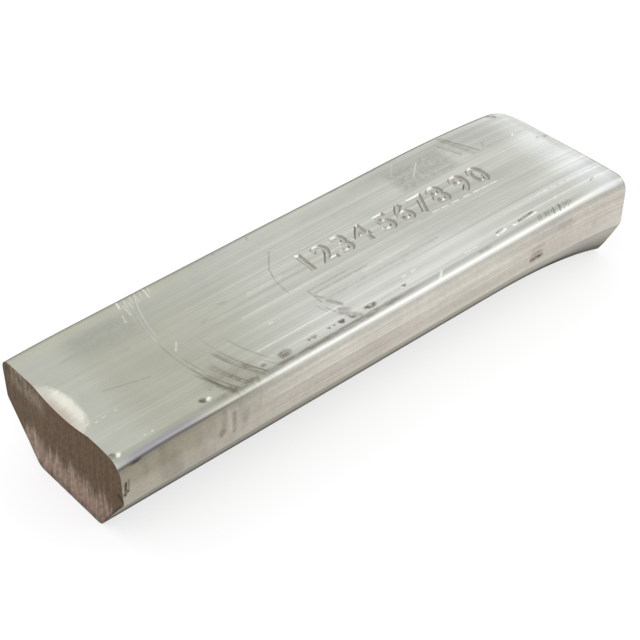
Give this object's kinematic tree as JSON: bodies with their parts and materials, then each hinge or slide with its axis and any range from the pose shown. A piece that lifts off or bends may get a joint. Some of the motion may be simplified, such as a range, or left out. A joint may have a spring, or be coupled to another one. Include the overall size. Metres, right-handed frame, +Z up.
{
  "type": "solder bar",
  "caption": "Short bar of soft solder with a flat top, upright flanks and sides tapering to a narrow base, sheared at both ends, ready to melt into a solder pot.",
  "frame": {"origin": "on the floor plane under the bar, at the middle of the bar's box in X and Y", "axes": "+X along the bar from the blade-cut end to the rolled end, +Y across it, +Z up from the narrow base to the wide top"},
  "size_m": [0.1076, 0.0314, 0.0187],
  "materials": {
    "solder_metal": "dull silver-grey tin-lead solder with lengthwise drawing lines, scuffs and sheared ends"
  },
  "bodies": {
    "root": {"solder_bar": "solder_metal"}
  },
  "joints": []
}
